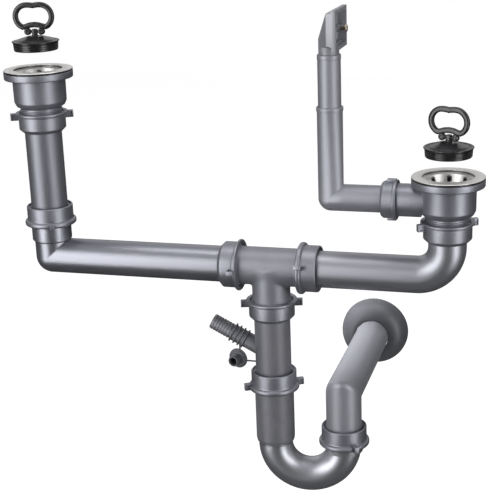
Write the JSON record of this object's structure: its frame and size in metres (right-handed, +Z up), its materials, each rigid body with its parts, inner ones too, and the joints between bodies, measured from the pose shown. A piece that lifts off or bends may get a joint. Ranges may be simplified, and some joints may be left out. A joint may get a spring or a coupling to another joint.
{
  "type": "p trap",
  "caption": "Sink waste kit for two bowls: strainers with plugs, tee, overflow, hose spigot, swivelling P trap and wall pipe with rosette.",
  "frame": {"origin": "on the right waste's axis, in the plane where its steel lip and its gasket clamp the sink", "axes": "+Z up along the waste axes, +X from the left bowl to the right bowl, +Y to the wall behind the sink"},
  "size_m": [0.526, 0.2735, 0.5551],
  "materials": {
    "grey_plastic": "satin moulded polypropylene",
    "black_rubber": "satin",
    "stainless": "fine brushed",
    "brass": "plain turned"
  },
  "bodies": {
    "run": {"left_strainer": "stainless", "left_flange_gasket": "black_rubber", "left_waste_body": "grey_plastic", "left_upper_seal": "black_rubber", "left_tailpipe": "grey_plastic", "left_lower_seal": "black_rubber", "left_arm": "grey_plastic", "tee": "grey_plastic", "tee_left_seal": "black_rubber", "tee_right_seal": "black_rubber", "tee_lower_seal": "black_rubber", "right_arm": "grey_plastic", "right_waste_seal": "black_rubber", "right_strainer": "stainless", "right_flange_gasket": "black_rubber", "right_waste_body": "grey_plastic", "overflow_seal": "black_rubber"},
    "left_plug": {"left_plug": "black_rubber", "left_plug_post": "black_rubber"},
    "left_ring": {"left_plug_ring": "black_rubber"},
    "right_plug": {"right_plug": "black_rubber", "right_plug_post": "black_rubber"},
    "right_ring": {"right_plug_ring": "black_rubber"},
    "left_strainer_screw": {"left_strainer_screw": "stainless"},
    "right_strainer_screw": {"right_strainer_screw": "stainless"},
    "left_upper_nut": {"left_upper_nut": "grey_plastic"},
    "left_lower_nut": {"left_lower_nut": "grey_plastic"},
    "tee_left_nut": {"tee_left_nut": "grey_plastic"},
    "tee_right_nut": {"tee_right_nut": "grey_plastic"},
    "tee_lower_nut": {"tee_lower_nut": "grey_plastic"},
    "right_waste_nut": {"right_waste_nut": "grey_plastic"},
    "overflow_nut": {"overflow_nut": "grey_plastic"},
    "overflow_elbow": {"overflow_elbow": "grey_plastic", "overflow_tube_seal": "black_rubber"},
    "overflow_tube": {"overflow_tube": "grey_plastic"},
    "overflow_head": {"overflow_head": "grey_plastic"},
    "overflow_screw": {"overflow_screw": "brass"},
    "inlet": {"inlet_tube": "grey_plastic", "blanking_cap": "grey_plastic"},
    "trap_seal": {"trap_inlet_seal": "black_rubber"},
    "trap": {"trap_sleeve": "grey_plastic", "trap_bend": "grey_plastic", "outlet_seal": "black_rubber"},
    "trap_inlet_nut": {"trap_inlet_nut": "grey_plastic"},
    "outlet_nut": {"outlet_nut": "grey_plastic"},
    "wall_pipe": {"wall_pipe": "grey_plastic"},
    "rosette": {"rosette": "grey_plastic"}
  },
  "joints": [
    {"name": "left_plug_lift", "type": "slide", "parent": "run", "child": "left_plug", "axis": [0, 0, 1], "range_m": [-0.023, 0.03]},
    {"name": "left_ring_fold", "type": "hinge", "parent": "left_plug", "child": "left_ring", "pos_m": [-0.45, 0, 0.1481], "axis": [0.9848, 0.1736, 0], "range_deg": [-90, 90]},
    {"name": "left_strainer_screw_turn", "type": "hinge", "parent": "run", "child": "left_strainer_screw", "pos_m": [-0.45, 0, 0.0925], "axis": [0, 0, 1], "range_deg": [0, 720]},
    {"name": "right_plug_lift", "type": "slide", "parent": "run", "child": "right_plug", "axis": [0, 0, 1], "range_m": [-0.023, 0.03]},
    {"name": "right_ring_fold", "type": "hinge", "parent": "right_plug", "child": "right_ring", "pos_m": [0, 0, 0.0416], "axis": [0.9397, -0.342, 0], "range_deg": [-90, 90]},
    {"name": "right_strainer_screw_turn", "type": "hinge", "parent": "run", "child": "right_strainer_screw", "pos_m": [0, 0, -0.014], "axis": [0, 0, 1], "range_deg": [0, 720]},
    {"name": "left_upper_nut_spin", "type": "hinge", "parent": "run", "child": "left_upper_nut", "pos_m": [-0.45, 0, 0.05], "axis": [0, 0, 1], "range_deg": [0, 720]},
    {"name": "left_lower_nut_spin", "type": "hinge", "parent": "run", "child": "left_lower_nut", "pos_m": [-0.45, 0, -0.059], "axis": [0, 0, 1], "range_deg": [0, 720]},
    {"name": "tee_left_nut_spin", "type": "hinge", "parent": "run", "child": "tee_left_nut", "pos_m": [-0.235, 0, -0.107], "axis": [1, 0, 0], "range_deg": [0, 720]},
    {"name": "tee_right_nut_spin", "type": "hinge", "parent": "run", "child": "tee_right_nut", "pos_m": [-0.149, 0, -0.107], "axis": [1, 0, 0], "range_deg": [0, 720]},
    {"name": "tee_lower_nut_spin", "type": "hinge", "parent": "run", "child": "tee_lower_nut", "pos_m": [-0.192, 0, -0.1545], "axis": [0, 0, 1], "range_deg": [0, 720]},
    {"name": "right_waste_nut_spin", "type": "hinge", "parent": "run", "child": "right_waste_nut", "pos_m": [0, 0, -0.0565], "axis": [0, 0, 1], "range_deg": [0, 720]},
    {"name": "overflow_nut_spin", "type": "hinge", "parent": "run", "child": "overflow_nut", "pos_m": [-0.059, 0, -0.026], "axis": [1, 0, 0], "range_deg": [0, 720]},
    {"name": "overflow_swing", "type": "hinge", "parent": "run", "child": "overflow_elbow", "pos_m": [-0.123, 0, -0.026], "axis": [1, 0, 0], "range_deg": [-90, 90]},
    {"name": "overflow_height", "type": "slide", "parent": "overflow_elbow", "child": "overflow_tube", "axis": [0, 0, 1], "range_m": [-0.04, 0.035]},
    {"name": "overflow_head_turn", "type": "hinge", "parent": "overflow_tube", "child": "overflow_head", "pos_m": [-0.123, 0, 0.125], "axis": [0, 0, 1], "range_deg": [-180, 180]},
    {"name": "overflow_screw_turn", "type": "hinge", "parent": "overflow_head", "child": "overflow_screw", "pos_m": [-0.123, 0, 0.1515], "axis": [1, 0, 0], "range_deg": [0, 720]},
    {"name": "inlet_swivel", "type": "hinge", "parent": "run", "child": "inlet", "pos_m": [-0.192, 0, -0.2105], "axis": [0, 0, 1], "range_deg": [-180, 180]},
    {"name": "trap_height", "type": "slide", "parent": "inlet", "child": "trap_seal", "axis": [0, 0, 1], "range_m": [-0.025, 0.007]},
    {"name": "trap_swivel", "type": "hinge", "parent": "trap_seal", "child": "trap", "pos_m": [-0.192, 0, -0.2505], "axis": [0, 0, 1], "range_deg": [-90, 90]},
    {"name": "trap_inlet_nut_spin", "type": "hinge", "parent": "trap", "child": "trap_inlet_nut", "pos_m": [-0.192, 0, -0.2405], "axis": [0, 0, 1], "range_deg": [0, 720]},
    {"name": "outlet_nut_spin", "type": "hinge", "parent": "trap", "child": "outlet_nut", "pos_m": [-0.11458, 0.00951, -0.3058], "axis": [0, 0, 1], "range_deg": [0, 720]},
    {"name": "wall_pipe_swivel", "type": "hinge", "parent": "trap", "child": "wall_pipe", "pos_m": [-0.11458, 0.00951, -0.3108], "axis": [0, 0, 1], "range_deg": [-180, 45]},
    {"name": "rosette_slide", "type": "slide", "parent": "wall_pipe", "child": "rosette", "axis": [0, 1, 0], "range_m": [-0.14, 0.024]}
  ]
}
